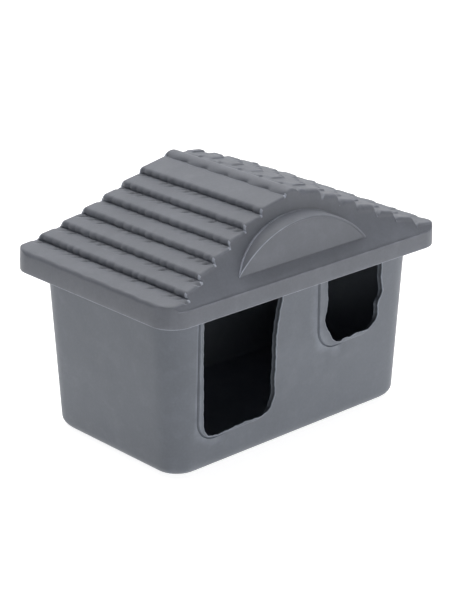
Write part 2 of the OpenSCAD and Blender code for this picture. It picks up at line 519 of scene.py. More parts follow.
def lip_columns(course):
    """The rounded nose of a lip, its face and the hollow at its foot."""
    face_x = lip_x(course) + LIP_RUN
    middle_x = face_x - NOSE_W
    first = atan2(NOSE_H, NOSE_W * COURSE_FALL)
    start_x = middle_x + NOSE_W * cos(first)
    middle_z = tread_z(course, start_x) - NOSE_H * sin(first)
    foot_z = lip_z(course) - LIP_H - FACE_DIP
    nose = arc(0, 0, 1, first, 0, NOSE_STEPS)
    profile = [(middle_x + NOSE_W * x, middle_z + NOSE_H * z) for x, z in nose]
    profile += [(face_x - FACE_BACK * s ** 2, between(middle_z, foot_z, s)) for s in FACE_SHARES]
    stages = [k / NOSE_STEPS for k in range(NOSE_STEPS + 1)] + [1 + s for s in FACE_SHARES]
    columns = []
    for (x, z), stage in zip(profile, stages):
        push, lift = (np.interp(stage, (0, 1, 2), shares) for shares in (LIP_PUSH, LIP_LIFT))
        columns.append(Column(x, z, course, push, lift, side_roll=min(stage, 2 - stage)))
    return columns


def eave_columns(steps):
    """The last course out to the eave, with more columns at the corner of the roof's plan."""
    last_lip = LIP_COUNT - 1
    foot = lip_x(last_lip) + LIP_RUN
    columns = []
    for run, push in EAVE_COLUMNS:
        x = foot + run
        columns.append(Column(x, tread_z(LIP_COUNT, x), last_lip, push, FOOT_LIFT * run, run))
    last = asin((HALF_W - EAVE_R - CORNER_X) / ROOF_CORNER_R)
    for k in range(steps):
        x = CORNER_X + ROOF_CORNER_R * sin(last * k / steps)
        sag = max(0.0, 2 * k / steps - 1) ** 2
        columns.append(Column(x, tread_z(LIP_COUNT, x), last_lip, 0.0, EAVE_LIFT, x - foot, sag=sag))
    top = tread_z(LIP_COUNT, HALF_W - EAVE_R)
    for k, (drop, inset) in enumerate(rounded(EAVE_R, EAVE_TURNS)):
        lift = EAVE_LIFT * (1 - k / EAVE_TURNS)
        columns.append(Column(HALF_W - inset, top - drop, LIP_COUNT, 0.0, lift, sag=1.0))
    return columns


def slope_columns(side):
    """One slope from the middle of the cap to its eave."""
    columns = cap_columns()
    crease = columns[-1].x
    start = crease
    for course in range(LIP_COUNT):
        lip = lip_columns(course)
        columns += tread_columns(course, start, lip[0].x, course - 1)
        columns += lip
        start = lip_x(course) + LIP_RUN
    # An odd number of columns on a slope lets the coarser inside keep every fourth of them
    eave = eave_columns(EAVE_STEPS)
    if (len(columns) + len(eave)) % 2 == 0:
        eave = eave_columns(EAVE_STEPS + 1)
    columns += eave
    if side > 0:
        for column in columns:
            near = min(column.x - crease, start + SHIFT_FADE - column.x) / SHIFT_FADE
            shift = LIP_SHIFT * clamp(near)
            column.x -= shift
            column.z += shift * SLOPE
    edge = 0.0
    low = ROOF_TOP
    last = len(columns) - 1
    for k, column in enumerate(columns):
        # The profile is level at the ridge and upright at the eave
        run = columns[k + 1].x - columns[max(0, k - 1)].x if k < last else 0.0
        fall = columns[k - 1].z - columns[min(last, k + 1)].z if k > 0 else 0.0
        size = hypot(run, fall)
        column.side = side
        if side > 0:
            fade = min(1.0, (HALF_W - column.x) / VERGE_FADE) ** 2
            column.verge_r += VERGE_GAIN * min(1.0, column.x / VERGE_GAIN_X) * fade
        drop = column.verge_r * min(1.0, max(VERGE_LEAST, (HALF_W - column.x) / LAST_COURSE_W))
        low = min(low, column.z - drop * run / size)
        column.low_z = low
        if column.x > 0:
            edge = max(edge + EDGE_STEP, column.x - VERGE_SIDE_R * column.side_roll * fall / size)
        column.edge_x = edge
    return columns


# Seeded draws, for each slope and each course. The cap takes the last course's
SLOPES = 2
COURSES = LIP_COUNT + 2
TILE_DRAWS = 12
LOBE_DRAWS = 40
dice = random.Random(7)


def draws(low, high, count):
    """As many values as count for each course of each slope."""
    made = [dice.uniform(low, high) for _ in range(SLOPES * COURSES * count)]
    return np.reshape(made, (SLOPES, COURSES, count))


def course_shift(course):
    """Where the joints of a course lie along y, in tiles, counted from its own front verge."""
    last_joint = LAST_TILE - float(cove_y(lip_z(min(course, LIP_COUNT - 1))))
    return dice.uniform(-JOINT_PLAY, JOINT_PLAY) - (HALF_D - last_joint) / TILE_PITCH % 1


def lobe_ends():
    """Places of the notches between the lobes of one lip, from front to back."""
    ends = [-HALF_D - dice.uniform(0, LOBE_W[1])]
    while ends[-1] < HALF_D:
        ends.append(ends[-1] + dice.uniform(*LOBE_W))
    return np.array(ends)


TILE_FORCE = draws(0.6, 1.2, TILE_DRAWS)
DENT_FORCE = draws(0.0, 1.4, TILE_DRAWS)
COURSE_SHIFT = np.array([[course_shift(k) for k in range(COURSES)] for _ in range(SLOPES)])
LOBE_ENDS = [[lobe_ends() for _ in range(COURSES)] for _ in range(SLOPES)]
LOBE_FORCE = draws(0.5, 1.2, LOBE_DRAWS)
# Starts of the eaves' waves, in radians
EAVE_TURN = [[dice.uniform(0, 6) for _ in EAVE_WAVES] for _ in range(SLOPES)]


def tile_waves(slope, course, below, y):
    """Bulge of a lip and lift of its tiles along y, from 0 to 1, and the dents below the lip."""
    along = (HALF_D - y) / TILE_PITCH + 1 + COURSE_SHIFT[slope][course]
    tile = np.floor(along).astype(int)
    share = along - tile
    lift = np.interp(share, [0, TILE_STEP, 1], [0, 1, 0])
    force = TILE_FORCE[slope][course][tile]
    dents = np.zeros_like(y)
    if course < 0:
        return force * np.interp(share, *CAP_WAVE), lift, dents
    ends = LOBE_ENDS[slope][course]
    lobe = np.clip(np.searchsorted(ends, y) - 1, 0, len(ends) - 2)
    within = np.clip((y - ends[lobe]) / (ends[lobe + 1] - ends[lobe]), 0, 1)
    lobes = LOBE_FORCE[slope][course][lobe] * np.sin(np.pi * within) ** LOBE_POWER
    bulge = LOBE_SHARE * lobes + (1 - LOBE_SHARE) * force * np.sqrt(np.sin(np.pi * share))
    for k, end in enumerate(ends):
        off = end - y + DENT_SLANT * (below - DENT_BELOW)
        dents += DENT_FORCE[slope][course][k % TILE_DRAWS] * np.exp(-(off / DENT_W) ** 2)
    return bulge, lift, dents


def eave_wave(slope, y):
    """Uneven sag of an eave's edge along y, from 0 to 1."""
    waves = zip(EAVE_WAVES, EAVE_TURN[slope])
    return 0.5 + sum(height * np.sin(y / length + turn) for (height, length), turn in waves)


def grid_rows(y_edge, verge_r, skip):
    """Places of the rows from front to back, and the verge's angle at each."""
    k = np.arange(0, HALF_ROWS + 1, skip)
    ends = (0, STRAIGHT_ROWS, STRAIGHT_ROWS + STRETCHED_ROWS)
    angle = pi / 2 * np.clip((k - ends[-1]) / VERGE_ROWS, 0, 1)
    y = np.interp(k, ends, (0, STRAIGHT_REACH, y_edge - verge_r)) + verge_r * np.sin(angle)
    return np.concatenate((-y[::-1], y[1:])), np.concatenate((angle[::-1], angle[1:]))


def gable_flap(x, way, high, low, rows, plan, grow=0):
    """Points at x down a gable's curved face, at the front or at the back."""
    heights = high + (low - high) * np.arange(1, rows + 1) / rows
    reach = smooth_min(cove_y(heights, grow), plan)
    return [(x, way * float(y), float(z)) for y, z in zip(reach, heights)]


def outer_column(column):
    """Points of one outer column from front to back, and those of its two gable flaps."""
    side = column.side
    slope = 0 if side > 0 else 1
    low_z = column.low_z
    x_edge = column.edge_x
    plan = plan_y(x_edge)
    y, angle = grid_rows(float(smooth_min(cove_y(low_z), plan)), column.verge_r, 1)
    bulge, lift, dents = tile_waves(slope, column.course, column.below, y)
    calm = np.cos(angle)
    turned = 1 - calm
    hollow = exp(-((column.below - DENT_BELOW) / DENT_LENGTH) ** 2)
    lobe = LOBE if column.course >= 0 else CAP_LOBE
    x = column.x + column.push * lobe * (bulge - LOBE_MIDDLE) * calm + (x_edge - column.x) * turned
    belly = sin(pi * column.x / (BELLY_REACH * HALF_W)) ** BELLY_POWER
    raised = TILE_LIFT[slope] * lift + belly * (SLOPE_BELLY[slope] + SLOPE_TWIST[slope] * y / HALF_D)
    relief = column.lift * raised - DENT * hollow * dents
    relief -= EAVE_SAG * column.sag * eave_wave(slope, y)
    z = column.z - (column.z - low_z) * turned + relief * calm
    flaps = []
    for way in (-1, 1):
        flap = gable_flap(side * x_edge, way, low_z, GABLE_Z + GABLE_END, GABLE_ROWS, plan)
        ledge = abs(flap[-1][1])
        dip = CREASE_LEAST + GROOVE_DIP * min(1.0, (plan - ledge) / LEDGE)
        for share, depth in ((CREASE_SHARE, dip), *LEDGE_ROWS):
            flap.append((side * x_edge, way * between(ledge, plan, share), GABLE_Z - depth))
        flaps.append(flap)
    return list(zip(side * x, y, z)), *flaps


# Room under the roof, and the rows that end it below the seat and over the skirt's edge
ROOM_DROP = ROOF_WALL * hypot(1, SLOPE)
ROOM_FOOT_X = lip_x(LIP_COUNT - 1) + LIP_RUN
ROOM_FOOT_Z = lip_z(LIP_COUNT - 1) - LIP_H - ROOM_DROP
ROOM_TOP = RIDGE_Z - ROOF_WALL
SEAT_CLEAR = 0.05
SEAT_DROP = 0.6
ROOM_END = 1.5


def inner_column(column):
    """Points of one column of the room under the roof, and those of its two gable flaps."""
    inner_r = ROOF_CORNER_R - ROOF_WALL
    beyond = max(0, column.edge_x - CORNER_X)
    x = column.edge_x - beyond * ROOF_WALL / ROOF_CORNER_R
    seat = SEAT_Z + SEAT_CLEAR
    z = min(ROOM_TOP, max(seat + SEAT_CLEAR, ROOM_FOOT_Z + (ROOM_FOOT_X - x) * SLOPE))
    plan = plan_y(x, inner_r)
    y, _ = grid_rows(float(smooth_min(cove_y(z, ROOF_WALL), plan)), column.verge_r, INSIDE_SKIP)
    x *= column.side
    flaps = []
    for way in (-1, 1):
        flap = gable_flap(x, way, z, seat, ROOM_ROWS, plan, ROOF_WALL)
        flap.append((x, way * plan, seat - SEAT_DROP))
        flap.append((x, way * plan, SKIRT_Z + ROOM_END))
        flaps.append(flap)
    return [(x, v, z) for v in y], *flaps


def lid(shell, columns, make):
    """A crowned middle with a flap down each of its four sides. Gives the loop round its lower edge."""
    made = [make(c) for c in columns]
    middle, front, back = ([shell.row(part) for part in parts] for parts in zip(*made))
    for k in range(len(made) - 1):
        shell.strip(middle[k], middle[k + 1])
        for end, flaps in ((0, front), (-1, back)):
            shell.strip([middle[k][end], *flaps[k]], [middle[k + 1][end], *flaps[k + 1]])
    sides = []
    for k in (0, -1):
        top, corner, _ = made[k]
        x, _, bottom = corner[-1]
        flaps = [front[k]]
        for _, y, high in top[1:-1]:
            squeeze = (high - bottom) / (top[0][2] - bottom)
            flaps.append(shell.row([(x, y, between(bottom, z, squeeze)) for _, _, z in corner]))
        flaps.append(back[k])
        for j in range(len(flaps) - 1):
            shell.strip([middle[k][j], *flaps[j]], [middle[k][j + 1], *flaps[j + 1]])
        sides.append([flap[-1] for flap in flaps])
    left, right = sides
    return [f[-1] for f in front] + right[1:] + [b[-1] for b in back][-2::-1] + left[-2:0:-1]


def skirt_points(shell, loop, inset, z):
    """Copies of a loop's points on the skirt, moved inwards and set at height z."""
    points = []
    for k in loop:
        x, y, _ = shell.points[k]
        off_x = copysign(max(0.0, abs(x) - CORNER_X), x)
        off_y = copysign(max(0.0, abs(y) - CORNER_Y), y)
        share = inset / hypot(off_x, off_y)
        points.append((x - off_x * share, y - off_y * share, z))
    return points


def lean_eaves(shell):
    """Lets the skirt below both eaves lean in towards its top, most where it meets the tiles."""
    for k, (x, y, z) in enumerate(shell.points):
        up = clamp((z - SKIRT_Z - SKIRT_EDGE_R) / EAVE_H)
        near = max(0.0, 1 - (HALF_W - abs(x)) / LEAN_REACH)
        shell.points[k] = (x - copysign(SKIRT_LEAN * near * up ** 2, x), y, z)


def roof_piece(material):
    """The roof: its tiled outside, its room and the skirt between them, as one closed shell."""
    columns = slope_columns(-1)[:0:-1] + slope_columns(1)
    shell = Shell()
    outer = lid(shell, columns, outer_column)
    column_points = 2 * HALF_ROWS + 1
    for k, column in enumerate(columns):
        # The ends of the left lips at both verges are painted bright as highlights
        if column.side < 0 and column.push > KNOB_PUSH:
            for row in range(KNOB_ROW, VERGE_ROWS):
                shell.painted_levels[k * column_points + row] = KNOB_HIGHLIGHT
                shell.painted_levels[(k + 1) * column_points - 1 - row] = KNOB_HIGHLIGHT

    row = outer
    for up in SKIRT_ROWS:
        row = shell.around(row, skirt_points(shell, outer, 0, SKIRT_Z + up))
    for k, (inset, up) in enumerate(rounded(SKIRT_EDGE_R, SKIRT_EDGE_STEPS)):
        row = shell.around(row, skirt_points(shell, outer, inset, SKIRT_Z + up))
        # The outer round of the skirt's lower edge is painted pale as a highlight
        if 0 < k < SKIRT_EDGE_STEPS:
            shell.paint_row(row, SKIRT_HIGHLIGHT)
    lean_eaves(shell)

    inner = lid(shell, columns[::INSIDE_SKIP], inner_column)
    inner_row = inner
    for inset, up in bevelled(INNER_EDGE_R):
        inner_row = shell.around(inner_row, skirt_points(shell, inner, -inset, SKIRT_Z + up))
    shell.ring(row, inner_row, INSIDE_SKIP)
    shell.piece("tiled_roof", "lid", "roof", material, ROOF_SHARP)


def half_moon(inset, low, rise):
    """Outline of the plaque, smaller by inset and low: its straight edge, a tip, the arc, a tip."""
    tip_r = max(LEAST_TIP_R, PLAQUE_TIP_R - inset)
    arc_r = PLAQUE_R - inset
    low_z = PLAQUE_Z + low
    tip_z = low_z + tip_r
    tip_x = sqrt((arc_r - tip_r) ** 2 - (tip_z - PLAQUE_CENTRE_Z) ** 2)
    tip_angle = atan2(tip_z - PLAQUE_CENTRE_Z, tip_x)
    points = stretch((-tip_x, low_z), (tip_x, low_z), CHORD_STEPS)[1:-1]
    points += arc(tip_x, tip_z, tip_r, -pi / 2, tip_angle, TIP_STEPS)
    points += arc(0, PLAQUE_CENTRE_Z, arc_r, tip_angle, pi - tip_angle, ARC_STEPS)[1:-1]
    points += arc(-tip_x, tip_z, tip_r, pi - tip_angle, 1.5 * pi, TIP_STEPS)
    return [(PLAQUE_SHIFT + x, PLAQUE_Z + rise * (z - PLAQUE_Z)) for x, z in points]


def paint_rim_highlight(shell, row, gain):
    """Paints a highlight on the round edge of the plaque, bright on its left half and less towards the
    right.
    """
    for k in row:
        x, _, z = shell.points[k]
        left = clamp((-x / PLAQUE_HALF_W - HIGHLIGHT_START) / (HIGHLIGHT_END - HIGHLIGHT_START))
        straight = z < PLAQUE_Z + PLAQUE_TIP_R and x > -PLAIN_END * PLAQUE_HALF_W
        wear_and_painted_light = gain * (RIM_HIGHLIGHT + RIM_HIGHLIGHT_GAIN * left)
        shell.painted_levels[k] = PLAIN_PAINTED_LEVEL if straight else max(PLAIN_PAINTED_LEVEL, wear_and_painted_light)


def plaque_piece(material):
    """The half-moon plaque: a rounded slab whose back follows the gable inside its wall."""
    face_y = -float(cove_y(PLAQUE_Z))
    shell = Shell()
    foot = half_moon(0, 0, FOOT_RISE)
    waist = half_moon(FLANGE_W, FLANGE_W, FOOT_RISE)
    back = shell.row([(x, PLAQUE_ROOT - float(cove_y(z)), z) for x, z in foot])
    row = back
    # Rows of the flange: their line, their share of its thickness and of the painted highlight
    flange = ((foot, 0.6, 0.0), (foot, 1.0, 1.0), (waist, 1.0, 1.0), (waist, 1.6, 0.0))
    for k, (line, lift, gain) in enumerate(flange):
        least = face_y + PLAQUE_EDGE_R + FLANGE_STEP * (len(flange) - k)
        row = shell.around(row, [(x, max(least, -float(cove_y(z)) - lift * FLANGE_T), z) for x, z in line])
        paint_rim_highlight(shell, row, gain)
    edge = rounded(PLAQUE_EDGE_R, PLAQUE_EDGE_STEPS)
    edge += [(PLAQUE_RIM_W + FACE_DEPTH * k, FACE_DEPTH * min(1, k)) for k in range(3)]
    for k, (inset, depth) in enumerate(edge):
        line = half_moon(inset, LOW_RIM * inset, FACE_RISE)
        row = shell.around(row, [(x, face_y + depth, z) for x, z in line])
        paint_rim_highlight(shell, row, 1.0 if 1 < k < PLAQUE_EDGE_STEPS else 0.0)
    shell.faces.append(tuple(row))
    shell.faces.append(tuple(reversed(back)))
    shell.piece("gable_plaque", "lid", None, material, ROOF_SHARP)


def tub_loop(axis_x, axis_y, r, z):
    """A rounded rectangle at height z, anticlockwise from above, from where the front panel starts."""
    corners = ((axis_x, -axis_y), (axis_x, axis_y), (-axis_x, axis_y), (-axis_x, -axis_y))
    points = []
    start = (-axis_x, -axis_y - r)
    for k, (x, y) in enumerate(corners):
        corner = arc(x, y, r, (k - 1) * pi / 2, k * pi / 2, CORNER_STEPS)
        points += stretch(start, corner[0], SIDE_STEPS if k % 2 else FRONT_STEPS)
        points += corner[1:-1]
        start = corner[-1]
    return [(x, y, z) for x, y in points]


def fillet_rows(r, z0, fillet):
    """Distances from the corner axis and heights where a leaning wall turns into a floor."""
    middle = r + fillet * (LEAN - 1 / cos(DRAFT))
    return arc(middle, z0 + fillet, fillet, -pi / 2, -DRAFT, FILLET_ROWS)


def opening_outline(marks, grow=0.0, fall=0.0):
    """A hand-cut opening from its top left: a smooth line through its marks, its sill lower by fall."""
    first_x = marks[0][0]
    last_x = marks[-1][0]
    lead = OPENING_TOP + CUT_LEAD
    knots = [(first_x, lead), *marks, (last_x, lead)]
    path = []
    for four in zip(knots, knots[1:], knots[2:], knots[3:]):
        steps = round(dist(four[1], four[2]) / CUT_STEP)
        path += [curve_point(*four, k / steps) for k in range(steps)]
    steps = round((last_x - first_x) / CUT_STEP)
    path += stretch((last_x, OPENING_TOP), (first_x, OPENING_TOP), steps)[:-1]
    cut = []
    run = 0.0
    for k, (x, z) in enumerate(path):
        before = path[k - 1]
        after = path[(k + 1) % len(path)]
        run += dist((x, z), before)
        size = dist(after, before)
        out = ((after[1] - before[1]) / size, (before[0] - after[0]) / size)
        uneven = sum(height * sin(run / length + start) for height, length, start in CUT_WAVES)
        calm = clamp((OPENING_TOP - z) / CUT_FADE)
        reach = uneven * calm + grow
        cut.append((x + out[0] * reach, z + out[1] * reach + fall * min(0.0, out[1]) * calm))
    return cut


def curve_point(p0, p1, p2, p3, t):
    """A point between p1 and p2 on the smooth curve through four marks."""
    point = []
    for a, b, c, d in zip(p0, p1, p2, p3):
        point.append(b + 0.5 * t * (c - a + t * (2 * a - 5 * b + 4 * c - d + t * (3 * (b - c) + d - a))))
    return tuple(point)


def border_rise(x, z, border):
    """Height of the raised border at a point of the front wall."""
    left, right, low, r, lean = border
    x -= lean * (OPENING_TOP - z)
    over_x = abs(x - (left + right) / 2) - (right - left) / 2 + r
    over_z = low + r - z
    outside = hypot(max(over_x, 0), max(over_z, 0)) + min(max(over_x, over_z), 0) - r
    groove = max(0.0, 1 - abs(2 * outside / GROOVE_W - 1))
    along = max(0.0, (x - left - r) / (right - left))
    rise = BORDER_RISE * (1 - BORDER_FADE * min(1.0, along / BORDER_FADE_END))
    return rise * clamp(-outside / BORDER_STEP) - GROOVE_DEPTH * max(0.0, 1 - along / GROOVE_END) * groove


def border_line(border, inset):
    """Line along a raised border's step, from its top left down and along under the opening."""
    left, right, low, r, lean = border
    middle_z = low + r
    first_x = left + r
    last_x = right - r
    r -= inset
    steps = round((OPENING_TOP - middle_z) / BORDER_SPACING)
    points = stretch((first_x - r, OPENING_TOP), (first_x - r, middle_z), steps)[:-1]
    points += arc(first_x, middle_z, r, *LEFT_ROUND)[:-1]
    steps = round((last_x - first_x) / BORDER_SPACING)
    points += stretch((first_x, middle_z - r), (last_x, middle_z - r), steps)
    points += arc(last_x, middle_z, r, *RIGHT_ROUND)[1:]
    return [(x + lean * (OPENING_TOP - z), z) for x, z in points]


def inside(point, polygon):
    """True where a point lies within a closed outline."""
    x, z = point
    found = False
    for k, (x1, z1) in enumerate(polygon):
        x0, z0 = polygon[k - 1]
        if (z0 > z) != (z1 > z) and x < x0 + (x1 - x0) * (z - z0) / (z1 - z0):
            found = not found
    return found


def clearance(point, points):
    return min(dist(point, p) for p in points)


def fill_panel(shell, edge, holes, lines, surface):
    """Triangles between a panel's edge, its holes and its crease lines. Gives the rows round the holes."""
    flat = [(shell.points[k][0], shell.points[k][2]) for k in edge]
    border = list(flat)
    numbers = list(edge)
    links = [(k, (k + 1) % len(edge)) for k in range(len(edge))]

    def add(points):
        row = shell.row([(x, surface(x, z), z) for x, z in points])
        flat.extend(points)
        numbers.extend(row)
        return row

    def cut_out(point):
        return any(inside(point, hole) for hole in holes)

    hole_rows = []
    for hole in holes:
        first = len(flat)
        hole_rows.append(add(hole))
        links.extend((first + k, first + (k + 1) % len(hole)) for k in range(len(hole)))
    for line in lines:
        last = None
        for point in line:
            if cut_out(point) or any(clearance(point, hole) < PANEL_MARGIN for hole in holes):
                last = None
                continue
            add([point])
            if last is not None:
                links.append((last, len(flat) - 1))
            last = len(flat) - 1
    marked = list(flat)
    xs, zs = zip(*marked)
    for i in range(1, int((max(xs) - min(xs)) / PANEL_STEP)):
        for j in range(1, int((max(zs) - min(zs)) / PANEL_STEP)):
            point = (min(xs) + PANEL_STEP * i, min(zs) + PANEL_STEP * j)
            if clearance(point, marked) >= PANEL_STEP / 2 and inside(point, border) and not cut_out(point):
                add([point])
    made = delaunay_2d_cdt([Vector(p) for p in flat], links, [], 0, SAME_POINT)
    corners, _, faces, sources, _, _ = made
    for corner, source in zip(corners, sources):
        if not source:
            raise ValueError(f"two lines of the front wall cross at {corner}")
    for face in faces:
        middle = sum((corners[k] for k in face), Vector((0, 0))) / len(face)
        if not cut_out(middle):
            shell.faces.append(tuple(numbers[sources[k][0]] for k in face))
    return hole_rows


DOOR_RIGHT = DOOR_LEFT + DOOR_W
WINDOW_LEFT = WINDOW_RIGHT - WINDOW_W


def cut_marks(left, right, sill, ends, marks):
    """Marks along a cut edge, from their distances to its left or right side and to its sill."""
    sides = [(side + x, sill + z) for side, half in zip((left, right), marks) for x, z in half]
    return [(left + ends[0], OPENING_TOP), *sides, (right + ends[1], OPENING_TOP)]


DOOR = cut_marks(DOOR_LEFT, DOOR_RIGHT, DOOR_SILL, (-0.5, 1.8), (
    ((-0.4, 45), (0, 31), (0.7, 19), (1.2, 6.5), (2.7, 1.9), (6.2, 0), (12, -0.2), (24, 0.4)),
    ((-8, 0), (-3, 1.3), (-0.4, 5.4), (0.3, 9.6), (-0.3, 13), (-0.1, 20.5), (-0.4, 32.5),
     (0.7, 43), (1.9, 49.5)),
))
WINDOW = cut_marks(WINDOW_LEFT, WINDOW_RIGHT, WINDOW_SILL, (-0.6, 0.3), (
    ((-0.6, 27), (0.1, 19), (-0.9, 11.5), (2, 5.8), (5.3, 1.2), (8.5, 0.1), (11.3, 0.7),
     (15, 0.4), (19, 1)),
    ((-7, 0.6), (-2.9, 2), (-0.1, 5.6), (-0.5, 10.6), (1.8, 16), (0.5, 22)),
))
# Left, right and lower ends of the raised borders, their corner radii, and their lean
BORDERS = (
    (DOOR_LEFT - 2.5, DOOR_RIGHT - 2.5, DOOR_SILL - 1.1, 8.9, 0.02),
    (WINDOW_LEFT - 5.5, WINDOW_RIGHT - 2.5, WINDOW_SILL - 1.1, 9.5, 0.053),
)


def tub_piece(material):
    """The tub: drafted walls, a turned-out rim and a front wall with two openings, as one closed shell."""
    shell = Shell()

    def wall_r(z):
        return FOOT_CORNER_R + LEAN * z

    def inner_r(z):
        return wall_r(z) - WALL_RUN

    def wall_y(x, r):
        beyond = max(0, abs(x) - TUB_AXIS_X)
        return -TUB_AXIS_Y - sqrt(r ** 2 - beyond ** 2)

    def front_y(x, z):
        return wall_y(x, wall_r(z)) - sum(border_rise(x, z, b) for b in BORDERS)

    def inner_y(x, z):
        return wall_y(x, inner_r(z))

    def outlines(grow, fall=0.0):
        return [opening_outline(marks, grow, fall) for marks in (DOOR, WINDOW)]

    def leaning_wall(rows, reach):
        """Rows up a wall with an open front: its lowest one, the open panel's edge and its top one."""
        loops = []
        for k, (r, z) in enumerate(rows):
            gain = FOOT_ROUND * (1 - k / FILLET_ROWS) ** 2
            loops.append(shell.row(tub_loop(TUB_AXIS_X - gain, TUB_AXIS_Y - gain, r + gain, z)))
        for row, other in zip(loops, loops[1:]):
            shell.strip(row, other, closed=True)
        start = loops[-1]
        columns = [start]
        for k in range(1, WALL_ROWS):
            z = between(rows[-1][1], RIM_Z, k / WALL_ROWS)
            points = tub_loop(TUB_AXIS_X, TUB_AXIS_Y, reach(z), z)
            columns.append([None] * FRONT_STEPS + shell.row(points[FRONT_STEPS:]))
            columns[-1][0] = shell.row(points[:1])[0]
        columns.append(shell.row(tub_loop(TUB_AXIS_X, TUB_AXIS_Y, reach(RIM_Z), RIM_Z)))
        for row, other in zip(columns, columns[1:]):
            shell.strip([*row[FRONT_STEPS:], row[0]], [*other[FRONT_STEPS:], other[0]])
        edge = start[:FRONT_STEPS + 1] + [c[FRONT_STEPS] for c in columns[1:-1]]
        edge += columns[-1][FRONT_STEPS::-1] + [c[0] for c in columns[-2:0:-1]]
        return loops[0], edge, columns[-1]

    outer_rows = fillet_rows(FOOT_CORNER_R, 0, FOOT_FILLET_R)
    under, outer_edge, outer_top = leaning_wall(outer_rows, wall_r)
    inner_rows = fillet_rows(inner_r(FLOOR_T), FLOOR_T, FOOT_FILLET_R - TUB_WALL)
    floor, inner_edge, inner_top = leaning_wall(inner_rows, inner_r)

    insets = (-GROOVE_W, -GROOVE_W / 2, 0.0, BORDER_STEP)
    steps = [border_line(b, inset) for b in BORDERS for inset in insets]
    outer_rims = fill_panel(shell, outer_edge, outlines(CUT_BEVEL + CUT_STRIP), steps, front_y)
    inner_rims = fill_panel(shell, inner_edge, outlines(CUT_BEVEL / 2, SILL_FALL), [], inner_y)
    bevels = outlines(CUT_BEVEL)
    cuts = outlines(0.0)
    far_cuts = outlines(0.0, SILL_FALL)
    for outer_rim, inner_rim, bevel, cut, far_cut in zip(outer_rims, inner_rims, bevels, cuts, far_cuts):
        row = shell.around(outer_rim, [(x, front_y(x, z), z) for x, z in bevel])
        # The burr is painted pale, as wear and as a highlight
        shell.paint_row(row, BURR_WEAR_AND_HIGHLIGHT)
        near = [(x, front_y(x, z) + CUT_BEVEL, z) for x, z in cut]
        far = [(x, inner_y(x, z) - CUT_BEVEL / 2, z) for x, z in far_cut]
        for share in CUT_SHARES:
            points = [[between(a, b, share) for a, b in zip(*ends)] for ends in zip(near, far)]
            row = shell.around(row, points)
            # The middle rows of the cut faces are painted darker as shade
            if 0 < share < 1:
                shell.paint_row(row, CUT_SHADE)
        shell.strip(row, inner_rim, closed=True)

    axis_x = tub_high.x / MM - RIM_CORNER_R
    axis_y = tub_high.y / MM - RIM_CORNER_R
    edge = bevelled(RIM_EDGE_R)
    rim = [(inset, RIM_Z + up) for inset, up in reversed(edge)]
    rim += [(inset, SEAT_Z - down) for inset, down in edge]
    row = outer_top
    for inset, z in rim:
        row = shell.around(row, tub_loop(axis_x, axis_y, RIM_CORNER_R - inset, z))
    for grow, down in reversed(edge):
        row = shell.around(row, tub_loop(TUB_AXIS_X, TUB_AXIS_Y, inner_r(SEAT_Z) + grow, SEAT_Z - down))
    shell.strip(row, inner_top, closed=True)
    shell.faces.append(tuple(under))
    shell.faces.append(tuple(floor))
    shell.piece("tub_shell", "house", "tub", material, TUB_SHARP)


# Plastic: scale, detail and roughness of its patterns, and depths of its relief in metres
CLOUDS = (45, 4, 0.5)
SPECKS = (900, 2, 0.7)
PATCHES = (160, 3, 0.5)
GLOSS = (120, 5, 0.5)
GRAIN = (2600, 2, 0.5)
WAVES = (70, 1, 0.5)
GRAIN_DEPTH = 0.0001
WAVE_DEPTH = 0.0006
BUMP_STRENGTH = 0.12
PLASTIC_IOR = 1.49
ROUGHNESS = (0.4, 0.54)
# Places along the clouds, the specks and the painted wear and light, and the brightness there: the lowest
# is painted shade, the highest painted highlights and wear
CLOUD_STOPS = ((0.3, 0.95), (0.7, 1.05))
SPECK_STOPS = ((0.35, 0.96), (0.75, 1.04))
WEAR_AND_LIGHT_STOPS = ((0.0, 0.6), (0.05, 1.0), (0.1, 1.0), (1.0, 2.6))


def feed(tree, node, inputs):
    """Sets inputs of a node, each to a value or to what a socket gives."""
    for name, value in inputs.items():
        if isinstance(value, bpy.types.NodeSocket):
            tree.links.new(value, node.inputs[name])
        else:
            node.inputs[name].default_value = value


def output(tree, kind, inputs, name=0, **settings):
    """What a new node gives, by its settings and inputs."""
    node = tree.nodes.new(kind)
    for setting, value in settings.items():
        setattr(node, setting, value)
    feed(tree, node, inputs)
    return node.outputs[name]


def noise(tree, place, pattern):
    scale, detail, rough = pattern
    inputs = {"Vector": place, "Scale": scale, "Detail": detail, "Roughness": rough}
    return output(tree, "ShaderNodeTexNoise", inputs)


def ramp(tree, value, stops, tint=(1, 1, 1)):
    """A tint whose brightness goes from stop to stop as the value grows."""
    node = tree.nodes.new("ShaderNodeValToRGB")
    feed(tree, node, {"Fac": value})
    elements = node.color_ramp.elements
    for position, _ in stops[1:-1]:
        elements.new(position)
    for element, (position, gain) in zip(elements, stops):
        element.position = position
        element.color = (*(gain * part for part in tint), 1)
    return node.outputs["Color"]


def multiplied(tree, first, second):
    """The product of two colours."""
    inputs = {"Factor": 1.0, "A": first, "B": second}
    return output(tree, "ShaderNodeMix", inputs, "Result", data_type="RGBA", blend_type="MULTIPLY")


def combined(tree, operation, first, second):
    """Two numbers put together."""
    return output(tree, "ShaderNodeMath", {0: first, 1: second}, operation=operation)


def ranged(tree, value, low, high):
    """A number from low to high as the value goes from 0 to 1."""
    inputs = {"Value": value, "To Min": low, "To Max": high}
    return output(tree, "ShaderNodeMapRange", inputs)


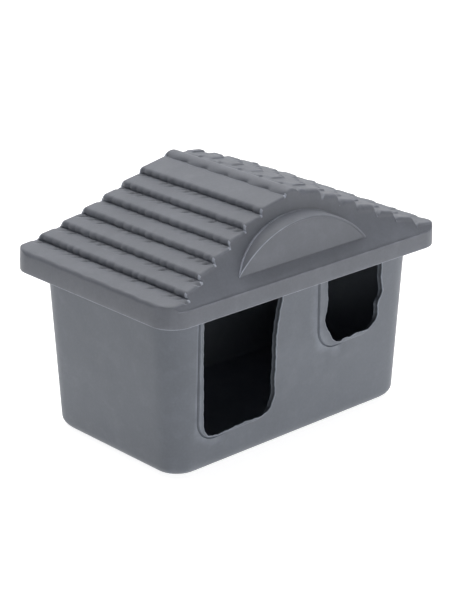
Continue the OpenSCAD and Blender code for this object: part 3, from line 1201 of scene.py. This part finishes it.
def plastic(name, level, red, blue):
    """Satin moulded plastic: clouded grey, fine grain, soft waves, edges painted paler as wear and
    highlights, and cut faces painted darker as shade.
    """
    material = bpy.data.materials.new(name)
    material.use_nodes = True
    tree = material.node_tree
    place = output(tree, "ShaderNodeTexCoord", {}, "Object")

    clouds = ramp(tree, noise(tree, place, CLOUDS), CLOUD_STOPS, (level * red, level, level * blue))
    specks = ramp(tree, noise(tree, place, SPECKS), SPECK_STOPS)
    # Painted wear, highlights and shade, broken up into patches
    wear_and_painted_light = output(tree, "ShaderNodeAttribute", {}, "Fac", attribute_name="wear_and_painted_light")
    patchy_paint = combined(tree, "MULTIPLY", wear_and_painted_light, noise(tree, place, PATCHES))
    colour = multiplied(tree, multiplied(tree, clouds, specks), ramp(tree, patchy_paint, WEAR_AND_LIGHT_STOPS))

    relief = {"Strength": BUMP_STRENGTH, "Distance": WAVE_DEPTH, "Height": noise(tree, place, WAVES)}
    broad = output(tree, "ShaderNodeBump", relief)
    relief.update({"Distance": GRAIN_DEPTH, "Height": noise(tree, place, GRAIN), "Normal": broad})
    fine = output(tree, "ShaderNodeBump", relief)
    feed(tree, tree.nodes["Principled BSDF"], {
        "IOR": PLASTIC_IOR,
        "Base Color": colour,
        "Roughness": ranged(tree, noise(tree, place, GLOSS), *ROUGHNESS),
        "Normal": fine,
    })
    return material


def seen_share(tree):
    """1 for rays that see the background as it is: from the camera, a gloss or glass."""
    path = tree.nodes.new("ShaderNodeLightPath")
    total = path.outputs["Is Camera Ray"]
    for name in ("Is Glossy Ray", "Is Transmission Ray"):
        total = combined(tree, "MAXIMUM", total, path.outputs[name])
    return total


FLOOR_SIZE = 6.0
# The floor lies a hair below the tub's foot, so that they don't share a plane
FLOOR_Z = -0.00005
FLOOR_GREY = (0.5, 0.5, 0.5, 1)
# Glow of the floor as it is seen, and as a light
FLOOR_GLOW = 0.88
TABLE_LIGHT = 0.54


def stage_object(name, points, faces, material):
    """An object of the studio, which is no part of the house."""
    obj = new_object(name, points, faces, material)
    return obj


def floor_piece():
    """A wide pale floor that keeps the object's shadow and shows white to the camera."""
    material = bpy.data.materials.new("floor_white")
    material.use_nodes = True
    tree = material.node_tree
    tree.nodes.remove(tree.nodes["Principled BSDF"])
    matt = output(tree, "ShaderNodeBsdfDiffuse", {"Color": FLOOR_GREY})
    strength = ranged(tree, seen_share(tree), TABLE_LIGHT, FLOOR_GLOW)
    glow = output(tree, "ShaderNodeEmission", {"Strength": strength})
    both = output(tree, "ShaderNodeAddShader", {0: matt, 1: glow})
    feed(tree, tree.nodes["Material Output"], {"Surface": both})
    half = FLOOR_SIZE / 2
    corners = [(x * half, y * half, FLOOR_Z) for x, y in ((-1, -1), (1, -1), (1, 1), (-1, 1))]
    stage_object("studio_floor", corners, [(0, 1, 2, 3)], material)


CARD_R = 1.2
CARD_GREY = (0.03, 0.03, 0.03, 1)
CARD_ROUGHNESS = 0.9
CARD_TURNS = 24
CARD_RISES = 8


def dark_card(name, first, last, low, high):
    """A hollow dark card between two directions and two heights, which shades faces turned up to it."""
    material = bpy.data.materials.new(name)
    material.use_nodes = True
    tree = material.node_tree
    feed(tree, tree.nodes["Principled BSDF"], {"Base Color": CARD_GREY, "Roughness": CARD_ROUGHNESS})
    shell = Shell()
    rows = []
    for r, z in arc(0, 0, CARD_R, radians(low), radians(high), CARD_RISES):
        ring = arc(0, 0, r, radians(first), radians(last), CARD_TURNS)
        rows.append(shell.row([(x, y, z) for x, y in ring]))
    for row, other in zip(rows, rows[1:]):
        shell.strip(row, other)
    card = stage_object(name, shell.points, shell.faces, material)
    card.visible_camera = False


# White surroundings as a light, and the lamp, in metres and watts
LIGHT_LEVEL = 1.76
LAMP_SIZE = 0.9
LAMP_ENERGY = 2.5
LAMP_PLACE = (0.25, 0.25, 1.1)
LAMP_AIM = (0, 0, 0.05)


def studio_light():
    """White surroundings that light the object evenly, and one wide lamp above its back right."""
    world = bpy.data.worlds.new("studio")
    bpy.context.scene.world = world
    world.use_nodes = True
    tree = world.node_tree
    level = ranged(tree, seen_share(tree), LIGHT_LEVEL, 1.0)
    feed(tree, tree.nodes["Background"], {"Color": (1, 1, 1, 1), "Strength": level})

    lamp = bpy.data.lights.new("overhead_lamp", "AREA")
    lamp.shape = "DISK"
    lamp.size = LAMP_SIZE
    lamp.energy = LAMP_ENERGY
    lamp_object = linked("overhead_lamp", lamp)
    lamp_object.location = LAMP_PLACE
    aim = Vector(LAMP_AIM) - lamp_object.location
    lamp_object.rotation_euler = aim.to_track_quat("-Z", "Y").to_euler()


# Camera fitted to the photo, and how far its aim lies off the middle
CAMERA_AZIMUTH = radians(42.498)
CAMERA_ELEVATION = radians(21.182)
CAMERA_DISTANCE = 813.76
CAMERA_LENS = 118.33
CAMERA_SENSOR = 36
AIM_HEIGHT = 50
AIM_RIGHT = -1.9
AIM_UP = -1.08


def photo_camera():
    """The photograph's view, from the front left and above."""
    across = cos(CAMERA_ELEVATION)
    back = Vector((-sin(CAMERA_AZIMUTH) * across, -cos(CAMERA_AZIMUTH) * across, sin(CAMERA_ELEVATION)))
    right = Vector((0, 0, 1)).cross(back).normalized()
    up = back.cross(right)
    aim = Vector((0, 0, AIM_HEIGHT)) + right * AIM_RIGHT + up * AIM_UP
    data = bpy.data.cameras.new("photo_camera")
    data.lens = CAMERA_LENS
    data.sensor_width = CAMERA_SENSOR
    camera = linked("photo_camera", data)
    camera.location = (aim + back * CAMERA_DISTANCE) * MM
    camera.rotation_euler = (-back).to_track_quat("-Z", "Y").to_euler()
    bpy.context.scene.camera = camera


roof_grey = plastic("roof_grey", level=0.185, red=0.94, blue=1.16)
tub_grey = plastic("tub_grey", level=0.192, red=0.91, blue=1.17)
roof_piece(roof_grey)
plaque_piece(roof_grey)
tub_piece(tub_grey)
floor_piece()
dark_card("left_card", first=112, last=225, low=1, high=60)
dark_card("front_card", first=225, last=355, low=15, high=67)
dark_card("right_card", first=355, last=415, low=5, high=14)
studio_light()
photo_camera()
bpy.context.scene.view_settings.view_transform = "Standard"
